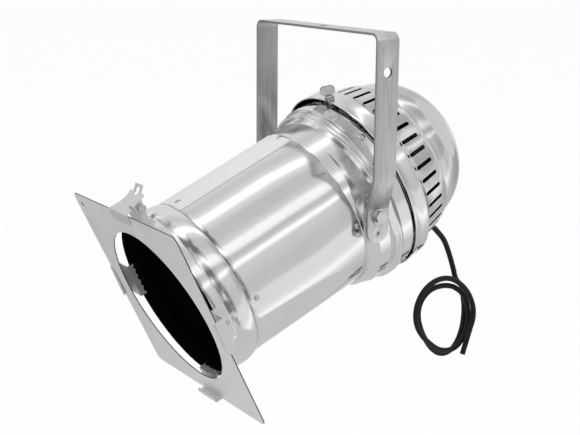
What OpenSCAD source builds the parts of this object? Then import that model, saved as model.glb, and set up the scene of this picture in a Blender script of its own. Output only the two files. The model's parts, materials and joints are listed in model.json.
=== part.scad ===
// Par can stage light: polished aluminium can, hinged rear lid, filter frame, yoke, coiled cord.
// Row frame: origin at the hole in the yoke's top bar, +Z up, the light faces -Y, near arm at +X.
// Lamp frame (inside lamp_place): y runs to the rear along the can's axis, z up, filter frame at y = 0.

/* [Placement] */
// Nose-down tilt of the can in its yoke, degrees
tilt_angle = 23.76; // [-30:0.5:60]
// Tilt bolts below the yoke's top bar
pivot_drop = 203.6; // [190:0.5:220]
// Tilt bolts behind the filter frame
pivot_s = 232.4; // [225:0.5:240]
// Tilt bolts above the can's axis
pivot_z = 5; // [0:0.5:10]

/* [Yoke] */
// Width of the yoke's strap
strap_w = 30; // [20:1:40]
// Thickness of the yoke's strap
strap_t = 3; // [2:0.5:5]
// Gap between the can's swelling and the outside of the arms at the tilt bolts
foot_gap = 6; // [5.5:0.1:7]
// Step of the joggle from there out to the upper arms
arm_joggle = 10.5; // [9:0.5:20]
// Radius of the hanging hole in the top bar
hang_hole_r = 5.25; // [4:0.25:8]
// Radius of the accessory hole in the near arm
arm_hole_r = 5.5; // [4:0.25:8]

/* [Can] */
// Outer radius of the barrel at its front
barrel_r = 99; // [98.5:0.1:99.5]
// Sheet thickness of barrel and bell
sheet = 1; // [0.8:0.1:1.2]
// Side of the square filter frame
frame_side = 250; // [240:1:255]
// Thickness of the filter frame
frame_t = 1.2; // [0.8:0.1:2]
// Radius of the filter frame's opening
frame_hole_r = 98.5; // [90:0.5:100]
// Lean of the filter frame in its clips, degrees
frame_lean = 1.77; // [0:0.1:2]

/* [Lid] */
// Depth of the domed back
dome_depth = 77.5; // [74:0.5:80]
// Number of vent slots
slot_count = 39; // [20:1:44]
// Width of a vent slot
slot_w = 4.8; // [2:0.1:6]

/* [Cord] */
// Diameter of the cord
cord_d = 7.2; // [5:0.1:9]
// Sideways step of the coil from loop to loop
coil_step = 8.6; // [8.2:0.1:12]

/* [Hidden] */

$fn = 64;
steel = [0.62, 0.62, 0.63];
bright = [0.86, 0.86, 0.87];
black = [0.06, 0.06, 0.06];

// Radii of the can's sections, each a step out from the one before
sleeve_r = barrel_r + 1.6;
bell_r = barrel_r + 3;
swell_r = barrel_r + 7;
bead_r = swell_r + 3.3;
flat_x = swell_r + 2.4;
band_r = swell_r + 6.2;
skirt_r = band_r + 3.8;
dome_r = skirt_r - 21.4;
skin = 1.2;
bead_wire = 3.1;

// The rear sections drop below the can's axis by these amounts
swell_drop = 5.5;
bead_drop = 4.6;
band_drop = 2;

// Where the sections start and end behind the filter frame
swell_s = 213.6;
swell_full_s = 228;
swell_end_s = 247;
band_s = 259;
skirt_s = 276.7;
band_end_s = skirt_s + 2.3;
dome_s = 342.8;

// Lap seam along the top of the can
lap_az = 79;
lap_end_az = 125;
lap_rise = 0.8;

// Yoke and tilt bolts, out from the can's swelling
foot_x = swell_r + foot_gap;
arm_x = foot_x + arm_joggle;
seat_x = swell_r + 1.6;
nut_x = swell_r - 9.5;
bolt_r = 4;

// Rivets and screws: azimuths, 90 at the top, and places along the can
seam_rivets = [0, 90, 180, 270];
sleeve_rivets = [2, 90, 180, 270];
clip_rivet_az = [-1.7, 183.1, 268.7];
latch_rivet_az = [84.5, 92];
saddle_rivet_az = [15, -4.5, 165, 184.5];
band_screw_az = [48, 132, 228, 312];
seam_rivet_s = 62.5;
sleeve_rivet_s = 209;
clip_rivet_s = 20;
latch_rivet_s = 18;
saddle_rivet_s = 232;
band_screw_s = 268;
rivet_shank = 1.6;

// Clips: outer face of the wall that holds the frame's edge
wall_x = frame_side / 2 + 1.05;

// Hinge of the lid, under the rear edge of the can
hinge_s = skirt_s - 0.2;
hinge_z = -(band_r + 8.3);

// Latch: pivot, slope of its plate and the plate's front corner
latch_s = 13.5;
latch_z = frame_side / 2 + 0.3;
latch_slope = 14.9;
latch_front = [-5.9, frame_side / 2 + 2.6];

// Thumb screw, leaning a little towards the near arm
screw_s = 281.5;
screw_lean = 7;
nut_boss_r = 5;

// Lamp: radius of its rim
lamp_r = barrel_r + 2.5;

// Cord entry on the underside of the dome, square to its surface
gland_s = 362;
gland_z = dome_r * sqrt(1 - pow((gland_s - dome_s) / dome_depth, 2));
gland_turn = atan((gland_s - dome_s) / pow(dome_depth, 2) * pow(dome_r, 2) / gland_z);

function turn(p, a) = [p[0], p[1] * cos(a) - p[2] * sin(a), p[1] * sin(a) + p[2] * cos(a)];
function to_row(p) = turn(p - [0, pivot_s, pivot_z], tilt_angle) - [0, 0, pivot_drop];
function unit(v) = v / norm(v);
function square_to(v, d) = unit(v - (v * d) * d);

module lamp_place() {
  translate([0, 0, -pivot_drop]) rotate([tilt_angle, 0, 0]) translate([0, -pivot_s, -pivot_z]) children();
}

// Turned piece: points are [radius, distance behind the filter frame]
module turned(points, drop = 0) {
  translate([0, 0, -drop]) rotate([-90, 0, 0]) rotate_extrude($fn = 180) polygon(points);
}

// A drum about the can's axis
module drum(r, s0, s1, drop = 0) {
  translate([0, s0, -drop]) rotate([-90, 0, 0]) cylinder(h = s1 - s0, r = r, $fn = 180);
}

// Children drawn at +x are carried round the can's axis, counter-clockwise seen from the front
module around(az, drop = 0) {
  translate([0, 0, -drop]) rotate([0, -az, 0]) children();
}

// Everything behind the frame between two azimuths
module wedge(from_az, to_az) {
  far = 2 * skirt_r;
  translate([0, 300, 0]) rotate([90, 0, 0]) linear_extrude(height = 300)
    polygon([[0, 0], [far * cos(from_az), far * sin(from_az)], [far * cos(to_az), far * sin(to_az)]]);
}

// A pin along x
module pin_x(r, x0, x1) {
  translate([x0, 0, 0]) rotate([0, 90, 0]) cylinder(h = x1 - x0, r = r, $fn = 48);
}

// Rivet along +x whose head sits at radius r: shank r_s reaches down by grip
module rivet(r, s, head, rise, shank, grip) {
  translate([r, s, 0]) rotate([0, 90, 0]) {
    translate([0, 0, -grip]) cylinder(h = grip + 0.01, r = shank, $fn = 24);
    intersection() {
      cylinder(h = rise, r = head, $fn = 40);
      translate([0, 0, rise - 1.6 * head]) sphere(r = 1.6 * head, $fn = 60);
    }
  }
}

module rivet_hole(r, s, shank) {
  translate([r - 12, s, 0]) rotate([0, 90, 0]) cylinder(h = 18, r = shank, $fn = 24);
}

// Tube swept along points: rings stand square to the path and don't twist
module tube(points, r, sides, side_dir = [1, 0, 0]) {
  n = len(points);
  dirs = [for (i = [0:n - 1]) i == 0 ? unit(points[1] - points[0])
    : i == n - 1 ? unit(points[n - 1] - points[n - 2])
    : unit(unit(points[i + 1] - points[i]) + unit(points[i] - points[i - 1]))];
  sides_at = [for (i = 0, b = square_to(side_dir, dirs[0]); i < n;
    i = i + 1, b = i < n ? square_to(b, dirs[i]) : b) b];
  rings = [for (i = [0:n - 1]) let (b = sides_at[i], m = cross(dirs[i], b))
    for (k = [0:sides - 1]) points[i] + r * (cos(360 * k / sides) * b + sin(360 * k / sides) * m)];
  walls = [for (i = [0:n - 2]) for (k = [0:sides - 1])
    let (a = i * sides + k, b = i * sides + (k + 1) % sides) [a, a + sides, b + sides, b]];
  polyhedron(points = rings, faces = concat(walls,
    [[for (k = [0:sides - 1]) k]], [[for (k = [sides - 1:-1:0]) (n - 1) * sides + k]]), convexity = 8);
}

// Yoke

module strap_corner() {
  translate([arm_x - 10, strap_w / 2, strap_t / 2 - 10]) rotate([90, 0, 0])
    rotate_extrude(angle = 90, $fn = 64) translate([10 - strap_t, 0]) square([strap_t, strap_w]);
}

module arm_side() {
  bend_hi = 42.2 - pivot_drop;
  bend_lo = 11.7 - pivot_drop;
  end_z = -pivot_drop - 15.5;
  strap_corner();
  translate([0, strap_w / 2, 0]) rotate([90, 0, 0]) linear_extrude(height = strap_w)
    polygon([[arm_x, strap_t / 2 - 10], [arm_x, bend_hi], [foot_x, bend_lo], [foot_x, end_z],
      [foot_x - strap_t, end_z], [foot_x - strap_t, bend_lo], [arm_x - strap_t, bend_hi],
      [arm_x - strap_t, strap_t / 2 - 10]]);
  translate([0, 0, end_z]) pin_x(strap_w / 2, foot_x - strap_t, foot_x);
}

module yoke() {
  color(bright) difference() {
    union() {
      translate([-arm_x + 10, -strap_w / 2, -strap_t / 2]) cube([2 * arm_x - 20, strap_w, strap_t]);
      arm_side();
      mirror([1, 0, 0]) arm_side();
    }
    translate([0, 0, -5]) cylinder(h = 10, r = hang_hole_r, $fn = 64);
    translate([0, 0, 162.4 - pivot_drop]) pin_x(arm_hole_r, arm_x - 8, arm_x + 5);
    translate([0, 0, -pivot_drop]) pin_x(bolt_r + 0.06, -arm_x, arm_x);
    translate([0, 0, -pivot_drop - 19.4]) pin_x(2.2, -arm_x, arm_x);
  }
}

// Tilt bolts: head, shank and nut turn with the can

module both_sides() {
  children();
  mirror([1, 0, 0]) children();
}

module tilt_bolts() {
  color(steel) translate([0, 0, -pivot_drop]) both_sides() {
    pin_x(bolt_r, nut_x - 2, foot_x + 1.6);
    translate([foot_x + 1.6, 0, 0]) rotate([0, 90, 0]) rotate([0, 0, 20]) cylinder(h = 5.3, r = 7.5, $fn = 6);
  }
}

module tilt_washers() {
  color(steel) translate([0, 0, -pivot_drop]) both_sides() difference() {
    union() {
      pin_x(9, foot_x, foot_x + 1.6);
      pin_x(9, seat_x, foot_x - strap_t);
    }
    pin_x(bolt_r, nut_x, arm_x);
  }
}

module tilt_nuts() {
  color(steel) lamp_place() difference() {
    intersection() {
      translate([0, pivot_s, pivot_z]) both_sides() {
        pin_x(10, nut_x + 6.5, swell_r + 1);
        translate([nut_x, 0, 0]) rotate([0, 90, 0]) cylinder(h = 6.5, r = 7.5, $fn = 6);
      }
      swelling_inside();
    }
    translate([0, pivot_s, pivot_z]) pin_x(bolt_r, -arm_x, arm_x);
  }
}

// Front bell and barrel

module front_bell() {
  b = bell_r;
  r0 = barrel_r;
  outer = [[b, 11.7], [b, 24], [b - 1, 25], [b, 28.5], [b + 0.8, 33], [b + 1.1, 38], [b + 0.8, 43],
    [b - 0.1, 47.5], [b - 1.4, 51.2], [r0 + 0.46 - sheet, 52.3], [r0 + 0.46 - sheet, 70]];
  inner = [[r0 + 0.46 - 2 * sheet, 70], [r0 + 0.46 - 2 * sheet, 51.8], [b - 1.6 - sheet, 50.6],
    [b - 0.6 - sheet, 46.8], [b + 0.6 - sheet, 42], [b + 1.1 - sheet, 38], [b + 0.6 - sheet, 33],
    [b - 0.2 - sheet, 28.6], [b - 1 - sheet, 25], [b - sheet, 23.6], [b - sheet, 11.7]];
  color(bright) lamp_place() difference() {
    turned(concat(outer, inner));
    for (az = seam_rivets) around(az) rivet_hole(r0, seam_rivet_s, rivet_shank);
    for (az = clip_rivet_az) around(az) rivet_hole(b, clip_rivet_s, rivet_shank);
    for (az = latch_rivet_az) around(az) rivet_hole(b, latch_rivet_s, rivet_shank);
  }
}

// The barrel widens a little towards the rear and has a lap seam near its top
module barrel() {
  front = barrel_r + 0.46;
  back = barrel_r + 1.56;
  color(bright) lamp_place() difference() {
    union() {
      turned([[front, 52.6], [front, 60], [back, 217], [back - sheet, 217], [front - sheet, 60],
        [front - sheet, 52.6]]);
      intersection() {
        turned([[front + lap_rise, 53.4], [front + lap_rise, 60], [back + lap_rise - 0.1, 212],
          [back - 0.5, 212], [front - 0.5, 60], [front - 0.5, 53.4]]);
        wedge(lap_az, lap_end_az);
      }
    }
    for (az = seam_rivets) around(az) rivet_hole(barrel_r, seam_rivet_s, rivet_shank);
    for (az = sleeve_rivets) around(az) rivet_hole(barrel_r, sleeve_rivet_s, rivet_shank);
  }
}

// The rivets at the top sit on the lap
module barrel_rivets() {
  color(steel) lamp_place() {
    for (az = seam_rivets) let (lap = az == 90 ? lap_rise : 0)
      around(az) rivet(barrel_r + 0.52 + lap, seam_rivet_s, 3.5, 1.3, rivet_shank, 2.6 + lap);
    for (az = sleeve_rivets) let (lap = az == 90 ? lap_rise : 0)
      around(az) rivet(barrel_r + 1.52 + lap, sleeve_rivet_s, 3.2, 1.3, rivet_shank, 2.6 + lap);
  }
}

// Rear body: sleeve, dropped swelling, double bead and band in one pressing

module swelling(grow = 0) {
  r = swell_r + grow;
  turned([[0, swell_s], [r - 5.3, swell_s], [r, swell_full_s], [r, swell_end_s], [0, swell_end_s]],
    swell_drop);
}

module swelling_inside() {
  r = swell_r - skin;
  turned([[0, swell_s + skin], [r - 4.93, swell_s + skin], [r, swell_full_s + 0.4],
    [r, swell_end_s + 1], [0, swell_end_s + 1]], swell_drop);
}

module rear_outer() {
  r = sleeve_r + 0.8;
  turned([[0, swell_s - 0.8], [r - 0.5, swell_s - 0.8], [r, swell_s], [r, swell_end_s], [0, swell_end_s]]);
  swelling();
  intersection() {
    swelling(lap_rise);
    wedge(lap_az, lap_end_az);
    drum(skirt_r, swell_s + 1, swell_end_s - 2);
  }
  intersection() {
    union() {
      drum(bead_r + 0.4, swell_end_s - 0.4, band_s + 0.4, bead_drop);
      for (s = [swell_end_s + 3, band_s - 3]) translate([0, s, -bead_drop]) rotate([-90, 0, 0])
        rotate_extrude($fn = 180) translate([bead_r, 0]) circle(r = bead_wire, $fn = 32);
    }
    translate([-flat_x, swell_s, -150]) cube([2 * flat_x, 100, 300]);
  }
  drum(band_r, band_s, band_end_s, band_drop);
}

module rear_inner() {
  drum(sleeve_r, 200, swell_end_s + 3);
  swelling_inside();
  intersection() {
    drum(bead_r - 0.8, swell_end_s + 0.8, band_s + 2, bead_drop);
    translate([-flat_x + skin, 200, -150]) cube([2 * (flat_x - skin), 100, 300]);
  }
  drum(band_r - skin, band_s + skin, band_end_s + 5, band_drop);
}

module rear_body() {
  color(bright) lamp_place() difference() {
    union() {
      difference() {
        rear_outer();
        rear_inner();
      }
      turned([[sleeve_r + 0.2, 217], [sleeve_r + 0.2, 218.2], [barrel_r - 0.5, 218.2],
        [barrel_r - 0.5, 203], [barrel_r + 1.46 - sheet, 203], [barrel_r + 1.56 - sheet, 217]]);
    }
    for (az = sleeve_rivets) around(az) rivet_hole(barrel_r, sleeve_rivet_s, rivet_shank);
    for (az = band_screw_az) around(az, band_drop) rivet_hole(band_r, band_screw_s, 2);
    for (az = saddle_rivet_az) around(az, swell_drop) rivet_hole(swell_r, saddle_rivet_s, 1.5);
    translate([0, pivot_s, pivot_z]) pin_x(bolt_r, -arm_x, arm_x);
    at_screw() translate([0, 0, 90]) cylinder(h = 40, r = nut_boss_r + 0.3, $fn = 48);
  }
}

module band_screws() {
  color(steel) lamp_place() for (az = band_screw_az) around(az, band_drop)
    rivet(band_r + 0.02, band_screw_s, 4.4, 2.2, 2, 3.2);
}

// Saddle plates under the tilt bolts

module saddle(side) {
  color(bright) lamp_place() difference() {
    union() {
      intersection() {
        turned([[swell_r - 3.68, 218], [swell_r, swell_full_s], [swell_r, swell_end_s - 0.6],
          [swell_r + 1.5, swell_end_s - 0.6], [swell_r + 1.5, swell_full_s - 0.2],
          [swell_r - 2.1, 218]], swell_drop);
        translate([side * 60, 0, 0]) rotate([0, side * 90, 0]) linear_extrude(height = 60) union() {
          translate([-side * (pivot_z - 1) - 27, pivot_s - 5]) square([54, 19]);
          translate([-side * (pivot_z - 1) - 18, pivot_s - 14]) square([36, 28]);
          translate([-side * (pivot_z - 1) - 18, pivot_s - 5]) circle(r = 9);
          translate([-side * (pivot_z - 1) + 18, pivot_s - 5]) circle(r = 9);
        }
      }
      translate([0, pivot_s, pivot_z]) rotate([0, side > 0 ? 0 : 180, 0]) pin_x(10, swell_r - 2, seat_x);
    }
    swelling();
    translate([0, pivot_s, pivot_z]) pin_x(bolt_r, -arm_x, arm_x);
    for (az = saddle_rivet_az) around(az, swell_drop) rivet_hole(swell_r, saddle_rivet_s, 1.5);
  }
}

module saddle_near() {
  saddle(1);
}

module saddle_far() {
  saddle(-1);
}

module saddle_rivets() {
  color(steel) lamp_place() for (az = saddle_rivet_az) around(az, swell_drop)
    rivet(swell_r + 1.53, saddle_rivet_s, 2.8, 1, 1.5, 3.4);
}

// Clips that hold the filter frame

// Clip at +x: web behind the frame, wall at its edge and lip in front of it
module clip(wide, front) {
  x = wall_x;
  difference() {
    translate([0, 0, -wide / 2]) linear_extrude(height = wide)
      polygon([[x, front], [x, 9.2], [bell_r - 3, 9.2], [bell_r - 3, 8.2], [x - 1, 8.2],
        [x - 1, front + 1], [x - 6.5, front + 1], [x - 6.5, front]]);
    for (z = [-wide / 2, wide / 2]) translate([x - 6.5, front, z]) rotate([0, 45, 0])
      cube([6.4, 3, 6.4], center = true);
  }
}

// Leg of the clip on the outside of the bell
module clip_leg(wide, mid) {
  intersection() {
    difference() {
      drum(bell_r + 1.03, 8.2, 24);
      drum(bell_r + 0.03, 0, 30);
    }
    translate([60, 0, mid - wide / 2]) cube([60, 40, wide]);
  }
}

// Scalloped tab of the clip inside the bell
module clip_tab(wide, mid) {
  teeth = 5;
  intersection() {
    difference() {
      drum(bell_r - sheet, 8.2, 16.5);
      drum(bell_r - sheet - 1, 0, 30);
      for (i = [0:teeth - 1]) around(asin(mid / bell_r) + (i - (teeth - 1) / 2) * 4.6)
        translate([bell_r, 17.4, 0]) rotate([0, -90, 0]) cylinder(h = 6, r = 2.6, center = true, $fn = 24);
    }
    translate([60, 0, mid - wide / 2]) cube([60, 40, wide]);
  }
}

module frame_clip(az, front, mid) {
  wide = 42;
  color(bright) lamp_place() difference() {
    around(az) {
      intersection() {
        translate([0, 0, mid]) clip(wide, front);
        difference() {
          translate([60, -20, -60]) cube([100, 60, 120]);
          drum(bell_r - sheet - 1, -30, 60);
        }
      }
      clip_leg(wide, mid);
      clip_tab(wide, mid);
    }
    for (a = clip_rivet_az) around(a) rivet_hole(bell_r, clip_rivet_s, rivet_shank);
  }
}

module side_clip_near() {
  frame_clip(0, -2.3, -3);
}

module side_clip_far() {
  frame_clip(180, -2.3, 3);
}

module bottom_clip() {
  frame_clip(270, -4.6, 10);
}

module clip_rivets() {
  color(steel) lamp_place() {
    for (az = clip_rivet_az) around(az) {
      rivet(bell_r + 1.06, clip_rivet_s, 3, 1, rivet_shank, 3);
      translate([bell_r - sheet - 1.05, clip_rivet_s, 0]) rotate([0, 90, 0]) cylinder(h = 1, r = 2.8, $fn = 40);
    }
    for (az = latch_rivet_az) around(az) rivet(bell_r + 1.23, latch_rivet_s, 3, 1, rivet_shank, 3.6);
  }
}

// Top latch: its bracket's cheeks stand inside the two ears of the latch plate

bracket_cheeks = [-9.8, 15.6];
latch_ears = [-11.2, 17];
cheek_t = 1.2;
ear_r = 4.6;

module latch_bracket() {
  color(bright) lamp_place() difference() {
    union() {
      intersection() {
        drum(bell_r + 1.2, 12.4, 23.6);
        translate([bracket_cheeks[0], 0, 80]) cube([bracket_cheeks[1] - bracket_cheeks[0] + cheek_t, 40, 40]);
      }
      for (x = bracket_cheeks) {
        translate([x, latch_s - 1.1, bell_r - 4]) cube([cheek_t, 9.1, 10]);
        translate([x, latch_s - ear_r, bell_r + 4]) cube([cheek_t, 2 * ear_r, latch_z - bell_r - 4]);
        translate([0, latch_s, latch_z]) pin_x(ear_r, x, x + cheek_t);
      }
    }
    drum(bell_r, 0, 40);
    translate([0, latch_s, latch_z]) pin_x(2, -60, 60);
    for (az = latch_rivet_az) around(az) rivet_hole(bell_r, latch_rivet_s, rivet_shank);
  }
}

// Pin with a head beyond the far ear and a domed nut at its near end
module latch_pin() {
  color(steel) lamp_place() translate([0, latch_s, latch_z]) {
    pin_x(2, -12.8, 24);
    pin_x(3.4, -12.8, -11.7);
    pin_x(4.4, 22.4, 24);
    translate([23.9, 0, 0]) rotate([0, 90, 0]) cylinder(h = 1.2, r1 = 3.2, r2 = 2.2, $fn = 40);
  }
}

// Outline of the latch plate: across the can, and along the plate from its front corner
latch_outline = [[-22.2, 0], [22.2, 0], [20.6, 7], [19.4, 13], [18.8, 19], [18.4, 25], [17.4, 29.8],
  [15, 31], [-14, 31], [-15.3, 29.8], [-12.7, 24.7], [-11.4, 19], [-13.6, 12.8], [-17.1, 7.2]];

module top_latch() {
  front = latch_front[0];
  corner = latch_front[1];
  color(bright) lamp_place() difference() {
    union() {
      translate([0, front, corner]) rotate([latch_slope, 0, 0]) translate([0, 0, -1.2])
        linear_extrude(height = 1.2) polygon(latch_outline);
      translate([-22.2, front, corner - 13]) cube([44.4, 1.15, 12.9]);
      translate([-8.5, front, corner]) rotate([90, 0, 90]) linear_extrude(height = 17)
        polygon([[28.3, 6.2], [28.3, 7.5], [29.4, 7.83], [35.6, 14.7], [36.4, 13.9], [30.1, 6.8]]);
      for (x = latch_ears) {
        translate([x, front, corner]) rotate([90, 0, 90]) linear_extrude(height = cheek_t)
          polygon([[14.8, 3.3], [24, 5.75], [24, -2.3], [14.8, -2.3]]);
        translate([0, latch_s, latch_z]) pin_x(ear_r, x, x + cheek_t);
      }
    }
    translate([0, latch_s, latch_z]) pin_x(2.06, -60, 60);
    for (d = [-1.4, 1.4]) translate([0, front + 30.7 + d, corner + 8.6]) rotate([30, 0, 0])
      cylinder(h = 12, r = 4.2, center = true, $fn = 40);
  }
}

// Latch spring: hooked over the plate, two legs down its near side, coiled round the pin
spring_turns = 1.75;
spring_coil_r = 3.3;
spring_pts = concat(
  [[14, 4.2, 131.2], [20.4, 4.2, 131.2], [21.3, 4.3, 130.4], [21.4, 6.8, 113.8], [21.4, 8.1, 112.4],
    [21.4, 9.6, 113.8]],
  [for (i = [0:42]) let (a = 180 - 360 * spring_turns * i / 42)
    [21.4 - 2.25 * i / 42, latch_s + spring_coil_r * cos(a), latch_z + spring_coil_r * sin(a)]],
  [[19.1, 12.2, 121.4], [19, 11.5, 119.6], [18.3, 11.5, 118.6], [16.85, 11.5, 118.6]]);

module latch_spring() {
  color(steel) lamp_place() tube(spring_pts, 0.6, 8, [0, 0, 1]);
}

// Filter frame

module filter_frame() {
  h = frame_side / 2;
  color(bright) lamp_place() rotate([frame_lean, 0, 0]) rotate([90, 0, 0])
    translate([0, 0, -frame_t / 2]) linear_extrude(height = frame_t) difference() {
      union() {
        square([frame_side, frame_side - 16], center = true);
        square([frame_side - 16, frame_side], center = true);
        for (x = [-1, 1]) for (z = [-1, 1]) translate([x * (h - 8), z * (h - 8)]) circle(r = 8, $fn = 48);
      }
      translate([1.3, -1.4]) circle(r = frame_hole_r, $fn = 180);
      translate([14.6 - h, h - 13.3]) circle(r = 2.8, $fn = 32);
    }
}

// Lamp and what holds it

module lamp_ring() {
  r = band_r - skin;
  color(steel) lamp_place() difference() {
    union() {
      difference() {
        drum(r, 260.2, 273, band_drop);
        drum(r - 1.2, 261.4, 280, band_drop);
      }
      difference() {
        drum(lamp_r + 1.5, 260.2, 276);
        drum(lamp_r + 0.1, 262.2, 280);
      }
    }
    drum(lamp_r - 5.5, 250, 290);
    for (az = band_screw_az) around(az, band_drop) rivet_hole(band_r, band_screw_s, 2);
  }
}

module lamp_wire() {
  color(steel) lamp_place() translate([0, 273.2, 0]) rotate([-90, 0, 0]) difference() {
    rotate_extrude($fn = 180) translate([lamp_r - 1.3, 0]) circle(r = 1.4, $fn = 24);
    translate([-4, 80, -5]) cube([8, 40, 10]);
  }
}

module lamp_lens() {
  bulge = 340;
  color([0.8, 0.85, 0.88, 0.5]) lamp_place() union() {
    intersection() {
      difference() {
        translate([0, 249.5 + bulge, 0]) sphere(r = bulge, $fn = 180);
        translate([0, 249.5 + bulge, 0]) sphere(r = bulge - 4.5, $fn = 180);
      }
      drum(lamp_r - 6, 240, 267);
    }
    difference() {
      drum(lamp_r, 262.2, 267);
      drum(lamp_r - 6.9, 250, 280);
    }
  }
}

// Bowl of the lamp and its base: outside, then back along the inside
module lamp_reflector() {
  r = lamp_r;
  outer = [[r, 267], [r, 271.8], [r - 3, 271.8], [r - 4.5, 273.2], [r - 9.5, 284], [r - 19.5, 300],
    [r - 33.5, 316], [r - 49.5, 329], [r - 63.5, 338], [r - 69.5, 344], [r - 69.5, 352], [0, 352]];
  inner = [[0, 348], [r - 73.5, 348], [r - 73.5, 342], [r - 65.5, 334.5], [r - 51.5, 325.6],
    [r - 36, 313], [r - 22.5, 297.6], [r - 12.9, 282], [r - 7.5, 270], [r - 6.9, 267]];
  color([0.75, 0.76, 0.78]) lamp_place() turned(concat(outer, inner));
}

// Prongs in their sockets
prong_x = [-11, 9];

module lamp_prongs() {
  color([0.72, 0.6, 0.35]) lamp_place() for (x = prong_x) translate([x, 352, -4.5]) cube([2, 16, 9]);
}

module lamp_socket() {
  color([0.85, 0.83, 0.78]) lamp_place() difference() {
    translate([-17, 354, -11]) cube([34, 30, 22]);
    for (x = prong_x) translate([x, 350, -4.5]) cube([2, 18, 9]);
  }
}

// The leads run from the socket's rear face round to the inner face of the terminal block
lead_path = [[384, 0], [391, 0], [398, -3], [402, -10], [401, -19], [395, -27], [385, -32],
  [373, -35], [361, -38.5], [353.5, -42.5], [349, -50], [351.27, -57.3]];

module lamp_leads() {
  color([0.8, 0.78, 0.7]) lamp_place() for (x = [-6, 6]) tube([for (p = lead_path) [x, p[0], p[1]]], 1.5, 8);
}

// Thumb screw and its tongue

module at_screw() {
  rotate([0, screw_lean, 0]) translate([0, screw_s, 0]) children();
}

module screw_tongue() {
  color(steel) lamp_place() difference() {
    union() {
      intersection() {
        difference() {
          drum(band_r + 1.5, 262, screw_s + 5.5, band_drop);
          drum(band_r, 250, screw_s + 12, band_drop);
        }
        at_screw() translate([-10, -40, band_r - 22]) cube([20, 60, 40]);
      }
      at_screw() translate([0, 0, band_r - 8.2]) cylinder(h = 7, r = nut_boss_r, $fn = 48);
    }
    at_screw() translate([0, 0, 90]) cylinder(h = 40, r = 2.55, $fn = 32);
  }
}

// Screw with a flange and two thumb wings, above the skirt
module thumb_screw() {
  color(steel) lamp_place() at_screw() {
    translate([0, 0, band_r - 11]) cylinder(h = 20, r = 2.5, $fn = 32);
    translate([0, 0, skirt_r + 0.9]) cylinder(h = 1.4, r = 6, $fn = 48);
    translate([0, 0, skirt_r + 2]) cylinder(h = 4.2, r = 4.2, $fn = 48);
    rotate([0, 0, 52]) {
      translate([-3, -1.5, skirt_r + 5.5]) cube([6, 3, 12]);
      for (x = [-3, 3]) translate([x, 1.5, skirt_r + 11.7]) rotate([90, 0, 0]) cylinder(h = 3, r = 6, $fn = 48);
    }
  }
}

// Lid hinge

module knuckle(x0, x1) {
  translate([0, hinge_s, hinge_z]) pin_x(3.2, x0, x1);
}

module hinge_bracket() {
  color(steel) lamp_place() difference() {
    union() {
      intersection() {
        drum(band_r + 1.5, 262, hinge_s - 2, band_drop);
        translate([-16, 250, -band_r - 18]) cube([32, 40, 40]);
      }
      knuckle(-7, 7);
      translate([-7, 266, hinge_z - 3.2]) cube([14, hinge_s - 266, 2.4]);
      translate([-7, 264.5, hinge_z - 3.2]) cube([14, 2.4, 12]);
    }
    drum(band_r, 250, band_end_s + 0.1, band_drop);
    translate([0, hinge_s, hinge_z]) pin_x(1.5, -30, 30);
  }
}

module hinge_pin() {
  color(steel) lamp_place() translate([0, hinge_s, hinge_z]) {
    pin_x(1.5, -17.5, 17.5);
    pin_x(2.6, -18.5, -17.5);
    pin_x(2.6, 17.5, 18.5);
  }
}

module hinge_leaf() {
  color(steel) lamp_place() difference() {
    union() {
      intersection() {
        drum(skirt_r + 1.5, 281.5, 294);
        translate([-17, 270, -skirt_r - 14]) cube([34, 40, 40]);
      }
      for (x = [-17, 7.1]) {
        knuckle(x, x + 9.9);
        translate([x, hinge_s + 1, hinge_z - 3.2]) cube([9.9, 8, 2.4]);
        translate([x, hinge_s + 6.6, hinge_z - 3.2]) cube([9.9, 2.4, 8]);
      }
    }
    drum(skirt_r, 270, 300);
    translate([0, hinge_s, hinge_z]) pin_x(1.56, -30, 30);
  }
}

// Rear lid

// The lid's form, moved inwards by t: hem, skirt, shoulder, slotted band, ledge and dome
module lid_solid(t) {
  r = skirt_r - t;
  walls = [[0, skirt_s - t], [r + 0.6, skirt_s - t], [r + 0.6, 279], [r, 279.8], [r, 296.2], [r - 0.5, 297.9],
    [r - 1.7, 299.4], [r - 7.8, 304.8], [r - 8.8, 307], [r - 13.7, 332.4], [r - 16.3, 341.6 - t],
    [r - 17.6, dome_s - t], [dome_r - t, dome_s - t + 0.6]];
  dome = [for (a = [2:4:90]) [(dome_r - t) * cos(a), dome_s + (dome_depth - t) * sin(a)]];
  turned(concat(walls, dome));
}

module rear_lid() {
  slot_from = 306.3;
  slot_to = 332.8;
  color(bright) lamp_place() difference() {
    lid_solid(0);
    lid_solid(skin);
    for (i = [0:slot_count - 1]) around(3.3 + 360 * i / slot_count) {
      for (s = [slot_from + slot_w / 2, slot_to - slot_w / 2]) translate([dome_r, s, 0]) rotate([0, 90, 0])
        cylinder(h = 20, r = slot_w / 2, $fn = 24);
      translate([dome_r, slot_from + slot_w / 2, -slot_w / 2]) cube([20, slot_to - slot_from - slot_w, slot_w]);
    }
    at_screw() translate([-3.2, -12, 100]) cube([6.4, 12, 30]);
    at_screw() translate([0, 0, 100]) cylinder(h = 30, r = 3.2, $fn = 32);
    at_gland() cylinder(h = 30, r = gland_bore, center = true, $fn = 48);
  }
}

// Cord entry: local +z points out of the dome at the gland

gland_bore = 6;

module at_gland() {
  translate([0, gland_s, -gland_z]) rotate([180 + gland_turn, 0, 0]) children();
}

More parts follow.
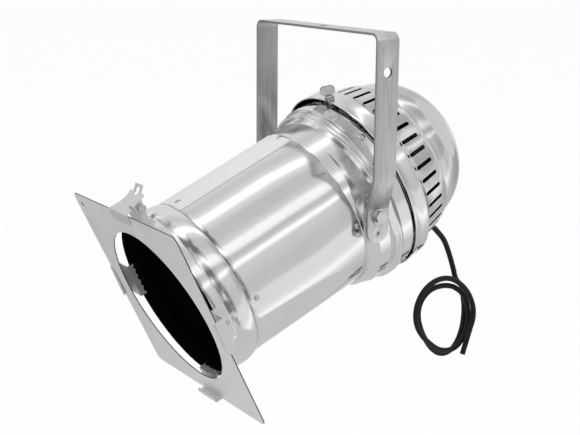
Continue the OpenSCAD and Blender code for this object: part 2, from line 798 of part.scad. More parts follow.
module cable_gland() {
  color(black) lamp_place() difference() {
    union() {
      difference() {
        at_gland() translate([0, 0, -0.6]) cylinder(h = 3.8, r = 9.5, $fn = 6);
        lid_solid(0);
      }
      at_gland() {
        translate([0, 0, -6]) cylinder(h = 12, r = gland_bore, $fn = 48);
        translate([0, 0, 3]) cylinder(h = 7, r = 7, $fn = 48);
        translate([0, 0, 10]) cylinder(h = 3, r1 = 7, r2 = 5.2, $fn = 48);
      }
    }
    at_gland() translate([0, 0, -20]) cylinder(h = 50, r = cord_d / 2, $fn = 32);
  }
}

module gland_nut() {
  color(black) lamp_place() difference() {
    intersection() {
      at_gland() translate([0, 0, -6]) cylinder(h = 5, r = 10, $fn = 6);
      lid_solid(skin);
    }
    at_gland() translate([0, 0, -20]) cylinder(h = 40, r = gland_bore, $fn = 48);
  }
}

module terminal_block() {
  color([0.85, 0.85, 0.82]) lamp_place() at_gland() translate([-15, -8, -36]) cube([30, 16, 12]);
}

module block_posts() {
  color(steel) lamp_place() intersection() {
    at_gland() for (x = [-12.8, 12.8]) translate([x, 0, -24]) cylinder(h = 24, r = 2, $fn = 32);
    lid_solid(skin);
  }
}

// Cord: free stretch, then the hanging coil

gland_root = to_row([0, gland_s, -gland_z]);
gland_dir = turn([0, sin(gland_turn), -cos(gland_turn)], tilt_angle);

coil_from = 26;
coil_to = -747;
coil_rings = 52;

// Wander of the loops, across and up, against the angle along the coil
wander_y = [[-840, 3], [-780, 7], [-720, 11], [-660, -2], [-600, 15], [-540, 1], [-480, -15], [-420, 4],
  [-360, -1], [-300, -10], [-240, 13], [-180, -5], [-120, -15], [-60, -2], [0, -15], [60, -1]];
wander_z = [[-840, 4], [-780, 2], [-720, 1], [-660, -3], [-600, 14], [-540, -1], [-480, -22], [-420, 13],
  [-360, 4], [-300, -16], [-240, 4], [-180, -1], [-120, -7], [-60, 11], [0, 0], [60, -4]];
function eased(table, a, d = -45) = d > 45 ? 0 : lookup(a + d, table) / 7 + eased(table, a, d + 15);
function coil_x(a) = coil_step * (coil_from - a) / 360 - 9;
function coil_pt(a) = let (x = coil_x(a))
  [x, 202.5 + (45.5 + eased(wander_y, a)) * cos(a) - 0.88 * x,
    -390.6 + (49.8 + eased(wander_z, a)) * sin(a) + 0.33 * x];

loop_pts = [for (i = [0:coil_rings]) coil_pt(coil_from + (coil_to - coil_from) * i / coil_rings)];
coil_in = unit(loop_pts[1] - loop_pts[0]);
coil_out = unit(loop_pts[coil_rings] - loop_pts[coil_rings - 1]);
lead_far = loop_pts[0] - 8 * coil_in;
coil_pts = concat([lead_far], loop_pts, [for (d = [18, 36]) loop_pts[coil_rings] + d * coil_out]);

lead_pts = concat([for (d = [-24, -12, 0, 12, 24]) gland_root + d * gland_dir],
  [[-1, 187.5, -271], [-2, 200, -284.5], [-4, 211.5, -305], [-5.5, 220, -324], [-7.5, 228.5, -343]],
  [lead_far - 8 * coil_in, lead_far]);

module cord_lead() {
  color(black) tube(lead_pts, cord_d / 2, 12);
}

module cord_coil() {
  color(black) tube(coil_pts, cord_d / 2, 6);
}

gap_pts = [for (a = [coil_to:2:coil_from]) coil_pt(a)];
gap_list = [for (i = [0:len(gap_pts) - 30]) for (j = [i + 29:1:len(gap_pts) - 1])
  norm(gap_pts[i] - gap_pts[j]) - cord_d];
tail_list = [for (p = gap_pts, d = [4:4:36]) if (norm(p - loop_pts[coil_rings]) > 45)
  norm(p - loop_pts[coil_rings] - d * coil_out) - cord_d];
echo(coil_gap = min(gap_list), tail_gap = min(tail_list), coil_start = lead_far, gland = gland_root);

yoke();
tilt_bolts();
tilt_washers();
tilt_nuts();
saddle_near();
saddle_far();
saddle_rivets();
front_bell();
barrel();
barrel_rivets();
rear_body();
band_screws();
side_clip_near();
side_clip_far();
bottom_clip();
clip_rivets();
latch_bracket();
latch_pin();
latch_spring();
top_latch();
filter_frame();
lamp_ring();
lamp_wire();
lamp_lens();
lamp_reflector();
lamp_prongs();
lamp_socket();
lamp_leads();
screw_tongue();
thumb_screw();
hinge_bracket();
hinge_pin();
hinge_leaf();
rear_lid();
terminal_block();
block_posts();
cable_gland();
gland_nut();
cord_lead();
cord_coil();
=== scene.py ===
# %% [markdown]
# # A par can stage light
#
# The lamp is a long tube of thin polished aluminium. A square filter frame sits in clips at its mouth, a
# domed lid with cooling slots closes its back, and a bent strap, the yoke, carries it between two bolts.
# The cord leaves the lid through a gland and hangs in a small coil.
#
# The CAD model is the fixed frame: every piece here sits on it and rides on one of its moving bodies. Two
# sets of axes are used. The row frame is the CAD's own, with its origin at the hole in the yoke's top bar.
# The lamp frame belongs to the can: x goes across, s runs to the rear along the can, z goes up from its
# axis.

# %% Load the frame
import bpy, json, math
from mathutils import Matrix, Vector


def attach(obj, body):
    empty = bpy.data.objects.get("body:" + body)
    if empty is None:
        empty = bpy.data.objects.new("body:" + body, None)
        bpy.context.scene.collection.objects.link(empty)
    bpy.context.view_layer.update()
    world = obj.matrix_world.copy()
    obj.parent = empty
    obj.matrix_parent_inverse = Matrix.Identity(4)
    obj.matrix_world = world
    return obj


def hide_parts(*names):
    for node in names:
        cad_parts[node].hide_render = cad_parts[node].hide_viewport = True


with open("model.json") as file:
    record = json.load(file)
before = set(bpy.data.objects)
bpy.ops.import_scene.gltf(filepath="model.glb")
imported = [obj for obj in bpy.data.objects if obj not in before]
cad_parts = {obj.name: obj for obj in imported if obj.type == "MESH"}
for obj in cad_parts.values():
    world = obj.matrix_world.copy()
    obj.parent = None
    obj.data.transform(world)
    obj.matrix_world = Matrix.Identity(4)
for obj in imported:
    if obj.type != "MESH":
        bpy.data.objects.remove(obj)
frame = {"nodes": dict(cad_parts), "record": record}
bpy.ops.object.select_all(action="DESELECT")
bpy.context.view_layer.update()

# %% [markdown]
# ## Sizes and axes
#
# Sizes are written in millimetres, as in the CAD, and turned to metres where they are used. The can hangs
# nose down on its two bolts, so the lamp frame is the row frame moved to the bolts and turned by the tilt.

# %% Sizes shared by several pieces
MM = 0.001
TILT = math.radians(23.76)
PIVOT_DROP, PIVOT_S, PIVOT_Z = 203.6, 232.4, 5
LAMP = (Matrix.Translation((0, 0, -PIVOT_DROP * MM)) @ Matrix.Rotation(TILT, 4, "X")
        @ Matrix.Translation((0, -PIVOT_S * MM, -PIVOT_Z * MM)))


def lamp_point(x, s, z):
    """A point given in the lamp frame in millimetres, as a point of the row frame in metres."""
    return LAMP @ Vector((x * MM, s * MM, z * MM))


print("mouth of the can at", tuple(round(v, 4) for v in lamp_point(0, 0, 0)))

# %% [markdown]
# ## The camera
#
# The camera stands at the light's front left, a little above it, and looks slightly down, as in the photo.
# Its place and its long lens were found by fitting known edges of the lamp to the photo.

# %% Camera
CAMERA_AT = Vector((1.1138, -0.7865, 0.1009))
CAMERA_RIGHT = Vector((0.55291, 0.83321, 0.0076))
CAMERA_UP = Vector((-0.19958, 0.12358, 0.97206))
CAMERA_BACK = Vector((0.80899, -0.53898, 0.23462))
LENS_MM, SENSOR_MM = 72.17, 36

bpy.ops.object.camera_add(location=CAMERA_AT)
camera = bpy.context.object
camera.name = "camera"
facing = Matrix((CAMERA_RIGHT, CAMERA_UP, CAMERA_BACK)).transposed()
camera.matrix_world = Matrix.Translation(CAMERA_AT) @ facing.to_4x4()
camera.data.lens = LENS_MM
camera.data.sensor_width = SENSOR_MM
camera.data.clip_end = 100
bpy.context.scene.camera = camera
print("camera looks along", tuple(round(-v, 3) for v in CAMERA_BACK))

# %% [markdown]
# ## The cord
#
# The cord is a round black rubber cable. It comes straight out of the gland under the dome, sags to the
# rear and ends in a coil of just over two loops that somebody wound by hand, so each loop wanders a little.
# Its end is cut bare. The route is the CAD's: the same points and the same formula, in millimetres of the
# row frame, joined by a smooth curve.

# %% Route of the cord
# The gland sits on the dome, which is half an ellipse, and the cord leaves it square to the dome's surface
GLAND_S, DOME_S, DOME_R, DOME_DEPTH = 362, 342.8, 94.6, 77.5
GLAND_Z = DOME_R * math.sqrt(1 - ((GLAND_S - DOME_S) / DOME_DEPTH) ** 2)
GLAND_TURN = math.atan((GLAND_S - DOME_S) / DOME_DEPTH ** 2 * DOME_R ** 2 / GLAND_Z)
GLAND_ROOT = lamp_point(0, GLAND_S, -GLAND_Z) / MM
GLAND_DIR = Matrix.Rotation(TILT, 3, "X") @ Vector((0, math.sin(GLAND_TURN), -math.cos(GLAND_TURN)))
# The coil: its first and last angle in degrees, its step across per turn, its centre, half sizes and drift
COIL_FROM, COIL_TO, COIL_STEPS = 26, -747, 52
COIL_PITCH = 8.6
COIL_X, COIL_Y, COIL_Z = -9, 202.5, -390.6
COIL_HALF_Y, COIL_HALF_Z = 45.5, 49.8
DRIFT_Y, DRIFT_Z = -0.88, 0.33
# Wander of the loops, along y and z in millimetres, one value at each 60 degrees from the first angle
WANDER_FROM, WANDER_STEP = -840, 60
WANDER_Y = (3, 7, 11, -2, 15, 1, -15, 4, -1, -10, 13, -5, -15, -2, -15, -1)
WANDER_Z = (4, 2, 1, -3, 14, -1, -22, 13, 4, -16, 4, -1, -7, 11, 0, -4)


def eased(table, angle):
    """The wander at an angle: read off between the listed angles, then evened out over 90 degrees."""
    offsets = range(-45, 46, 15)
    total = 0
    for offset in offsets:
        place = min(max((angle + offset - WANDER_FROM) / WANDER_STEP, 0), len(table) - 1)
        before = min(int(place), len(table) - 2)
        total += table[before] + (table[before + 1] - table[before]) * (place - before)
    return total / len(offsets)


def coil_point(degrees):
    """Centre of the cord at an angle along the coil."""
    x = COIL_X + COIL_PITCH * (COIL_FROM - degrees) / 360
    angle = math.radians(degrees)
    y = COIL_Y + (COIL_HALF_Y + eased(WANDER_Y, degrees)) * math.cos(angle) + DRIFT_Y * x
    z = COIL_Z + (COIL_HALF_Z + eased(WANDER_Z, degrees)) * math.sin(angle) + DRIFT_Z * x
    return Vector((x, y, z))


loops = [coil_point(COIL_FROM + (COIL_TO - COIL_FROM) * i / COIL_STEPS) for i in range(COIL_STEPS + 1)]
# The cord runs straight into the coil and out of it
coil_in = (loops[1] - loops[0]).normalized()
coil_out = (loops[-1] - loops[-2]).normalized()
out_of_gland = [GLAND_ROOT + distance * GLAND_DIR for distance in (12, 24)]
sag = [Vector((-1, 187.5, -271)), Vector((-2, 200, -284.5)), Vector((-4, 211.5, -305)),
       Vector((-5.5, 220, -324)), Vector((-7.5, 228.5, -343))]
into_coil = [loops[0] - 16 * coil_in]
tail = [loops[-1] + distance * coil_out for distance in (18, 36)]
route = out_of_gland + sag + into_coil + loops + tail
print("route points:", len(route), "gland at", tuple(round(v, 2) for v in GLAND_ROOT))

# %% Cord
CORD_D = 7.2
STEPS_BETWEEN = 4


def smooth_line(points, steps):
    """A line through the points, with rounded passing from one to the next."""
    line = []
    last = len(points) - 1
    for i in range(last):
        p0, p1, p2, p3 = points[max(i - 1, 0)], points[i], points[i + 1], points[min(i + 2, last)]
        for k in range(steps):
            t = k / steps
            line.append(0.5 * (2 * p1 + (p2 - p0) * t + (2 * p0 - 5 * p1 + 4 * p2 - p3) * t * t
                               + (3 * p1 - p0 - 3 * p2 + p3) * t ** 3))
    return line + [points[-1]]


cord_line = [point * MM for point in smooth_line(route, STEPS_BETWEEN)]
cord_curve = bpy.data.curves.new("cord", "CURVE")
cord_curve.dimensions = "3D"
spline = cord_curve.splines.new("POLY")
spline.points.add(len(cord_line) - 1)
# The cord's radius is the points' own, because a curve's box grows by the radius of its points
for point, place in zip(spline.points, cord_line):
    point.co = (*place, 1)
    point.radius = CORD_D / 2 * MM
cord_curve.bevel_depth = 1
cord_curve.bevel_resolution = 6
cord_curve.use_fill_caps = True
cord = bpy.data.objects.new("cord", cord_curve)
bpy.context.collection.objects.link(cord)
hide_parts("cord_lead", "cord_coil")
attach(cord, "lid")

# %% [markdown]
# ## Nodes in short lines
#
# Backdrop and finishes are built from shader nodes. These helpers add a node, spread a value over a range,
# work out a sum and make noise, so that each effect reads as a few short lines.


# %% Helpers for nodes
def add(tree, kind, inputs=None, **settings):
    """A node with its settings, constants and links."""
    node = tree.nodes.new(kind)
    for key, value in settings.items():
        setattr(node, key, value)
    for key, value in (inputs or {}).items():
        if isinstance(value, bpy.types.NodeSocket):
            tree.links.new(value, node.inputs[key])
        else:
            node.inputs[key].default_value = value
    return node


def spread(tree, value, low, high, to_low=0.0, to_high=1.0, **settings):
    """A value that runs from to_low to to_high while the input runs from low to high."""
    inputs = {"Value": value, "From Min": low, "From Max": high, "To Min": to_low, "To Max": to_high}
    return add(tree, "ShaderNodeMapRange", inputs, **settings).outputs["Result"]


def worked_out(tree, operation, first, second):
    """The result of one sum on two values."""
    return add(tree, "ShaderNodeMath", {0: first, 1: second}, operation=operation).outputs[0]


def object_coords(tree):
    """The piece's own coordinates."""
    return add(tree, "ShaderNodeTexCoord").outputs["Object"]


def noise(tree, at, scale, detail, roughness=0.5):
    """Noise at a point, from 0 to 1."""
    inputs = {"Vector": at, "Scale": scale, "Detail": detail, "Roughness": roughness}
    return add(tree, "ShaderNodeTexNoise", inputs).outputs["Fac"]


print("helpers for nodes ready")

# %% [markdown]
# ## Floor and backdrop
#
# Polished metal looks like whatever stands round it. The photo was taken in a white tent: the metal is pale
# grey with a few soft white lines along the can. So the world is a plain grey to reflections and white to
# the camera. The pale floor lies well below the hanging lamp and takes its soft shadow. It is pale to the
# camera and darker to everything else, so that it doesn't light the can from below.

# %% Floor and world
FLOOR_Z, FLOOR_SIDE = -1.25, 80
FLOOR_PALE, FLOOR_DARK = (0.97, 0.97, 0.97, 1), (0.55, 0.55, 0.55, 1)
TENT_GREY = 0.62

bpy.ops.mesh.primitive_plane_add(size=FLOOR_SIDE, location=(0, 0, FLOOR_Z))
floor = bpy.context.object
floor.name = "floor"
floor_material = bpy.data.materials.new("pale_floor")
floor_material.use_nodes = True
tree = floor_material.node_tree
shader = tree.nodes["Principled BSDF"]
shader.inputs["Roughness"].default_value = 0.9
shader.inputs["Specular IOR Level"].default_value = 0.1
to_camera = add(tree, "ShaderNodeLightPath").outputs["Is Camera Ray"]
pale = add(tree, "ShaderNodeMix", {"Factor": to_camera, "A": FLOOR_DARK, "B": FLOOR_PALE}, data_type="RGBA")
tree.links.new(pale.outputs["Result"], shader.inputs["Base Color"])
floor.data.materials.append(floor_material)

world = bpy.data.worlds.new("white_tent")
bpy.context.scene.world = world
world.use_nodes = True
tree = world.node_tree
background = tree.nodes["Background"]
background.inputs["Color"].default_value = (1, 1, 1, 1)
to_camera = add(tree, "ShaderNodeLightPath").outputs["Is Camera Ray"]
tree.links.new(spread(tree, to_camera, 0, 1, TENT_GREY, 1), background.inputs["Strength"])
bpy.context.scene.view_settings.view_transform = "Standard"
print("floor at z", FLOOR_Z)

# %% [markdown]
# ## The tent and the sun
#
# The white lines on the can come from a long tube of tent cloth that lies round it, parallel to it. Its
# brightness changes with the angle round the can, where the photo's lines ask for it. Its front part is
# patchy, which mostly the bell's swelling mirrors, and its far rear is dimmer. Only reflections see the
# tube. The duller pieces are lit by the grey world and by one soft sun from above, which also makes the
# shadow.

# %% Tent
TENT_R, TENT_LENGTH, TENT_MID_S = 1500, 5200, 850
# Brightness of the cloth against the angle round the can, seen from the front: 0 at the near side, 90 on top
TENT_LEVELS = [(-180, 0.74), (-160, 0.86), (-142, 1.08), (-134, 0.95), (-126, 0.62), (-117, 0.48),
               (-92, 0.52), (-76, 0.6), (-68, 0.78), (-58, 1.04), (-49, 0.8), (-43, 0.75), (-26, 0.75),
               (-20, 0.57), (-8, 0.56), (16, 0.64), (22, 1.2), (28, 0.6), (33, 0.52), (39, 1.0),
               (46, 1.04), (53, 0.66), (62, 0.56), (73, 0.56), (83, 0.7), (94, 1.35), (105, 0.7),
               (115, 0.6), (136, 0.74), (160, 0.71), (180, 0.74)]
LEVEL_TOP = 1.5
# Where the patches and the dim rear begin and are full, in metres forwards from the tube's middle
PATCHY_FROM, PATCHY_FULL = 0.42, 0.67
REAR_FROM, REAR_FULL = -0.5, -1.3
PATCH_SCALE, PATCH_DARK, PATCH_BRIGHT = 1.9, 0.3 * LEVEL_TOP, 1.3 * LEVEL_TOP
REAR_DARK = 0.72


def set_stops(ramp_node, levels, top=1):
    """Gives a colour ramp one grey stop for each (place, level), spread over the whole of the ramp."""
    first, last = levels[0][0], levels[-1][0]
    stops = ramp_node.color_ramp.elements
    while len(stops) < len(levels):
        stops.new(0.5)
    for stop, (place, level) in zip(stops, levels):
        stop.position = (place - first) / (last - first)
        stop.color = (level / top, level / top, level / top, 1)


bpy.ops.mesh.primitive_cylinder_add(vertices=128, radius=TENT_R * MM, depth=TENT_LENGTH * MM,
                                    end_fill_type="NOTHING")
tent = bpy.context.object
tent.name = "tent_tube"
tent.matrix_world = LAMP @ Matrix.Translation((0, TENT_MID_S * MM, 0)) @ Matrix.Rotation(math.pi / 2, 4, "X")
for ray in ("camera", "diffuse", "shadow", "transmission"):
    setattr(tent, f"visible_{ray}", False)

cloth = bpy.data.materials.new("tent_cloth")
cloth.use_nodes = True
tree = cloth.node_tree
tree.nodes.clear()
coords = object_coords(tree)
parts = add(tree, "ShaderNodeSeparateXYZ", {0: coords})
forwards = parts.outputs["Z"]
turn = worked_out(tree, "ARCTAN2", parts.outputs["Y"], parts.outputs["X"])
levels = add(tree, "ShaderNodeValToRGB", {"Fac": spread(tree, turn, -math.pi, math.pi)})
levels.color_ramp.interpolation = "EASE"
set_stops(levels, TENT_LEVELS, LEVEL_TOP)
patchy = spread(tree, forwards, PATCHY_FROM, PATCHY_FULL, interpolation_type="SMOOTHSTEP")
patches = spread(tree, noise(tree, coords, PATCH_SCALE, 1.5), 0.4, 0.6, PATCH_DARK, PATCH_BRIGHT)
strength = add(tree, "ShaderNodeMix", {0: patchy, 2: LEVEL_TOP, 3: patches}).outputs[0]
dimmed = worked_out(tree, "MULTIPLY", strength, spread(tree, forwards, REAR_FULL, REAR_FROM, REAR_DARK))
glow = add(tree, "ShaderNodeEmission", {"Color": levels.outputs["Color"], "Strength": dimmed})
add(tree, "ShaderNodeOutputMaterial", {"Surface": glow.outputs[0]})
tent.data.materials.append(cloth)
print("tent levels:", len(TENT_LEVELS))

# %% Sun
SUN_LEAN = (math.radians(-8), math.radians(10), 0)
SUN_SPREAD = math.radians(30)

bpy.ops.object.light_add(type="SUN", location=(0, 0, 2), rotation=SUN_LEAN)
sun = bpy.context.object
sun.name = "soft_top_light"
sun.data.energy = 1.3
sun.data.angle = SUN_SPREAD
sun.visible_glossy = False
print("sun:", round(sun.data.energy, 2))

# %% [markdown]
# ## Effects shared by the finishes
#
# Nearly everything here is bare metal, so the finishes differ by how it was worked. The effects are node
# groups that put out values, and each material sends them to its own roughness, colour and bump. The first
# gives the lamp's own axes to the others, because the can's marks run along it and round it.


# %% Lamp axes
def new_group(name, outputs, inputs=()):
    """An empty node group with its sockets."""
    group = bpy.data.node_groups.new(name, "ShaderNodeTree")
    for socket, kind, value in inputs:
        made = group.interface.new_socket(name=socket, in_out="INPUT", socket_type=kind)
        made.default_value = value
    for socket, kind in outputs:
        group.interface.new_socket(name=socket, in_out="OUTPUT", socket_type=kind)
    return group, group.nodes.new("NodeGroupInput"), group.nodes.new("NodeGroupOutput")


def give(group, group_out, results):
    """Joins the results to the group's outputs of the same names."""
    for socket, source in results.items():
        group.links.new(source, group_out.inputs[socket])


axes_group, _, group_out = new_group("lamp_axes", [
    ("Along", "NodeSocketFloat"), ("Round", "NodeSocketFloat"), ("Radius", "NodeSocketFloat"),
    ("Point", "NodeSocketVector")])
from_bolts = add(axes_group, "ShaderNodeVectorMath",
                 {0: object_coords(axes_group), 1: (0, 0, PIVOT_DROP * MM)}, operation="ADD")
level_again = add(axes_group, "ShaderNodeVectorRotate", {"Vector": from_bolts.outputs[0], "Angle": -TILT},
                  rotation_type="X_AXIS")
in_lamp = add(axes_group, "ShaderNodeVectorMath",
              {0: level_again.outputs[0], 1: (0, PIVOT_S * MM, PIVOT_Z * MM)}, operation="ADD")
split = add(axes_group, "ShaderNodeSeparateXYZ", {0: in_lamp.outputs[0]})
turn = worked_out(axes_group, "ARCTAN2", split.outputs["Z"], split.outputs["X"])
flat = add(axes_group, "ShaderNodeCombineXYZ", {"X": split.outputs["X"], "Y": split.outputs["Z"]})
radius = add(axes_group, "ShaderNodeVectorMath", {0: flat.outputs[0]}, operation="LENGTH")
give(axes_group, group_out, {"Along": split.outputs["Y"], "Round": turn,
                             "Radius": radius.outputs["Value"], "Point": in_lamp.outputs[0]})
print("group:", axes_group.name)

# %% [markdown]
# Spun metal keeps very fine rings round its axis, and a polished sheet is hazy in clouds. Both are noise:
# the rings come from a noise that changes fast along the can and slowly round it. Brushed sheet has long
# scratches, which are a noise stretched along one direction.

# %% Turning rings and long brushing
HEIGHT_AND_HAZE = [("Height", "NodeSocketFloat"), ("Haze", "NodeSocketFloat")]

rings_group, group_in, group_out = new_group("turning_rings", HEIGHT_AND_HAZE,
                                             [("Rings per mm", "NodeSocketFloat", 2.0)])
axes = add(rings_group, "ShaderNodeGroup", node_tree=axes_group)
per_metre = worked_out(rings_group, "MULTIPLY", group_in.outputs[0], 1000.0)
along = worked_out(rings_group, "ADD", axes.outputs["Along"], axes.outputs["Radius"])
rings_at = worked_out(rings_group, "MULTIPLY", along, per_metre)
round_slow = worked_out(rings_group, "MULTIPLY", axes.outputs["Round"], 1.5)
place = add(rings_group, "ShaderNodeCombineXYZ", {"X": rings_at, "Y": round_slow}).outputs[0]
rings = noise(rings_group, place, 1.0, 3.0)
cloud = noise(rings_group, axes.outputs["Point"], 22.0, 5.0, 0.6)
give(rings_group, group_out, {"Height": rings, "Haze": spread(rings_group, cloud, 0.35, 0.75)})

brush_group, group_in, group_out = new_group("long_brushing", HEIGHT_AND_HAZE,
                                             [("Stretch", "NodeSocketVector", (1, 1, 1))])
coords = object_coords(brush_group)
stretched = add(brush_group, "ShaderNodeVectorMath", {0: coords, 1: group_in.outputs[0]},
                operation="MULTIPLY")
scratches = noise(brush_group, stretched.outputs[0], 1.0, 4.0, 0.65)
cloud = noise(brush_group, coords, 30.0, 6.0)
give(brush_group, group_out, {"Height": scratches, "Haze": spread(brush_group, cloud, 0.35, 0.7)})
print("groups:", rings_group.name, brush_group.name)

# %% [markdown]
# The strap's colour carries painted reflections and painted shade: the top bar and the feet are
# painted brightest, the arms darker, the far arm darker still, and the joggle darkest, where it would
# mirror a dark part of the room. A colour ramp by height gives the arm its painted levels, and two
# masks add the far arm and the bar.

# %% Strap painted reflection and shade
# Painted reflection and shade down the arms: the level at a height in millimetres, top bar at 0
ARM_LEVELS = [(-235, 1.0), (-214, 0.88), (-197, 0.78), (-193.5, 0.42), (-189, 0.38), (-176, 0.55),
              (-164, 0.74), (-158, 0.8)]
# The far arm's painted shade, and the heights where the top bar's painted highlight starts and is full
FAR_ARM_LEVEL, FAR_ARM_FROM, FAR_ARM_TO = 0.74, -115, -105
BAR_FROM, BAR_TO = -8, -1

strap_group, _, group_out = new_group("strap_painted_reflection", [("Level", "NodeSocketFloat")])
split = add(strap_group, "ShaderNodeSeparateXYZ", {0: object_coords(strap_group)})
height = split.outputs["Z"]
from_foot = spread(strap_group, height, ARM_LEVELS[0][0] * MM, ARM_LEVELS[-1][0] * MM)
down_arm = add(strap_group, "ShaderNodeValToRGB", {"Fac": from_foot})
set_stops(down_arm, ARM_LEVELS)
far_arm = spread(strap_group, split.outputs["X"], FAR_ARM_FROM * MM, FAR_ARM_TO * MM, FAR_ARM_LEVEL)
arms = worked_out(strap_group, "MULTIPLY", down_arm.outputs["Color"], far_arm)
give(strap_group, group_out, {"Level": spread(strap_group, height, BAR_FROM * MM, BAR_TO * MM, arms)})
print("group:", strap_group.name, "levels:", len(ARM_LEVELS))

# %% [markdown]
# ## Finishes
#
# The can is spun and polished: a mirror with very fine rings round its axis and a little haze. The strap
# and the sheet parts are less polished, with the brushing of rolled sheet, and the strap carries painted
# reflections and painted shade. Their cut edges are darker, with a near-black painted shade on the raw
# edges and the walls of holes. Bolts, screws and rivets are bright zinc plate, with a painted shade on
# their rounded edges for the dark of the room that they reflect. The can is black inside. One short
# function makes each kind of finish.


# %% Helpers for materials
def material(name, **constants):
    """A new material and its main shader with these constants."""
    made = bpy.data.materials.new(name)
    made.use_nodes = True
    shader = made.node_tree.nodes["Principled BSDF"]
    for key, value in constants.items():
        shader.inputs[key.replace("_", " ")].default_value = value
    return made, made.node_tree, shader


def ramp(tree, value, low, high):
    """A value from low to high as the input goes from 0 to 1."""
    return spread(tree, value, 0, 1, low, high)


def grey(tree, level):
    """A grey of this level."""
    return add(tree, "ShaderNodeCombineColor", {"Red": level, "Green": level, "Blue": level}).outputs["Color"]


def cloud_noise(tree, scale, detail=5.0):
    """Soft clouds over the piece."""
    return noise(tree, object_coords(tree), scale, detail)


def bump(tree, height, strength, distance, under=None):
    """A normal from a height, on top of another bump where there is one."""
    inputs = {"Height": height, "Strength": strength, "Distance": distance}
    if under:
        inputs["Normal"] = under
    return add(tree, "ShaderNodeBump", inputs).outputs["Normal"]


def dress(tree, shader, **sources):
    """Joins colours, values and normals to the shader's inputs."""
    for key, source in sources.items():
        tree.links.new(source, shader.inputs[key.replace("_", " ")])


print("helpers for materials ready")


# %% Kinds of finish
def turned_metal(name, shade, rough, bump_strength):
    """Spun and polished thin metal: fine rings round the can's axis on a slightly uneven sheet."""
    made, tree, shader = material(name, Metallic=1.0)
    rings = add(tree, "ShaderNodeGroup", node_tree=rings_group)
    uneven = bump(tree, cloud_noise(tree, 11.0, 2.0), 1.0, 0.0007)
    dress(tree, shader, Roughness=ramp(tree, rings.outputs["Haze"], *rough),
          Base_Color=grey(tree, ramp(tree, rings.outputs["Haze"], shade, shade * 0.95)),
          Normal=bump(tree, rings.outputs["Height"], bump_strength, 0.0002, uneven))
    return made


def brushed_metal(name, shade, rough, stretch, bump_strength, painted_reflection=None, streaks=0.78, metallic=1.0):
    """Rolled sheet brushed along one direction: the small number in stretch is the direction of the lines."""
    made, tree, shader = material(name, Metallic=metallic)
    brush = add(tree, "ShaderNodeGroup", {"Stretch": stretch}, node_tree=brush_group)
    level = spread(tree, brush.outputs["Height"], 0.3, 0.7, shade, shade * streaks)
    # Where a group of painted reflection and shade is given, it multiplies the grey
    if painted_reflection:
        place = add(tree, "ShaderNodeGroup", node_tree=painted_reflection)
        level = worked_out(tree, "MULTIPLY", level, place.outputs["Level"])
    dress(tree, shader, Roughness=ramp(tree, brush.outputs["Haze"], *rough), Base_Color=grey(tree, level),
          Normal=bump(tree, brush.outputs["Height"], bump_strength, 0.0002))
    return made


def plain_material(name, shades, rough, noise_scale, bump_strength=0.0, **constants):
    """A matt or plastic surface whose grey and roughness vary a little."""
    made, tree, shader = material(name, **constants)
    cloud = cloud_noise(tree, noise_scale)
    dress(tree, shader, Base_Color=grey(tree, ramp(tree, cloud, *shades)),
          Roughness=ramp(tree, cloud, *rough))
    if bump_strength:
        dress(tree, shader, Normal=bump(tree, cloud, bump_strength, 0.0003))
    return made


def plated_metal(name, shades, rough):
    """Small zinc plated parts: bright faces with a painted shade where the surface turns away."""
    made, tree, shader = material(name, Metallic=1.0)
    cloud = cloud_noise(tree, 160.0)
    turned_away = add(tree, "ShaderNodeLayerWeight", {"Blend": 0.5}).outputs["Facing"]
    # Painted shade: the grey is darkened where the surface turns away from the camera
    painted_rim_shade = spread(tree, turned_away, 0.3, 0.75, 1.0, 0.16)
    level = worked_out(tree, "MULTIPLY", ramp(tree, cloud, *shades), painted_rim_shade)
    dress(tree, shader, Base_Color=grey(tree, level), Roughness=ramp(tree, cloud, *rough),
          Normal=bump(tree, cloud, 0.05, 0.0003))
    return made


def clear_glass(name):
    """Pressed glass with a faint ripple."""
    made, tree, shader = material(name, Base_Color=(0.95, 0.97, 0.97, 1), IOR=1.47, Transmission_Weight=1.0)
    ripple = cloud_noise(tree, 60.0, 2.0)
    dress(tree, shader, Roughness=ramp(tree, ripple, 0.02, 0.08), Normal=bump(tree, ripple, 0.3, 0.002))
    return made


print("kinds of finish ready")

# %% The finishes and what wears them
FINISH = {
    "bright_aluminium": turned_metal("polished_aluminium", 0.93, (0.07, 0.16), 0.05),
    # The strap's grey carries painted reflection and shade from its group
    "yoke_aluminium": brushed_metal("strap_aluminium", 0.98, (0.24, 0.42), (500, 500, 14), 0.3,
                                    painted_reflection=strap_group, streaks=0.7),
    "frame_aluminium": brushed_metal("sheet_aluminium", 0.99, (0.45, 0.55), (20, 900, 900), 0.03,
                                     streaks=0.95, metallic=0.8),
    "zinc_steel": plated_metal("zinc_plate", (0.62, 0.9), (0.12, 0.24)),
    # Black paint inside the barrel and bell; the same black is painted shade inside the lid and on its slot
    # walls
    "bore_black": plain_material("black_paint_and_painted_shade", (0.001, 0.003), (0.75, 0.95), 90,
                                 Specular_IOR_Level=0.05),
    "lens_glass": clear_glass("lens_glass"),
    "reflector_glass": plain_material("silvered_glass", (0.75, 0.85), (0.08, 0.14), 40, Metallic=1.0),
    "contact_brass": plain_material("contact_metal", (0.5, 0.6), (0.3, 0.4), 200, Metallic=1.0),
    "ceramic": plain_material("ceramic", (0.7, 0.8), (0.4, 0.6), 120),
    "lead_sleeve": plain_material("glass_sleeve", (0.6, 0.7), (0.6, 0.8), 400, 0.3),
    "gland_plastic": plain_material("gland_plastic", (0.012, 0.02), (0.35, 0.5), 200, 0.1),
    "cord_rubber": plain_material("cord_rubber", (0.008, 0.014), (0.38, 0.55), 260, 0.15,
                                  Specular_IOR_Level=0.25),
}
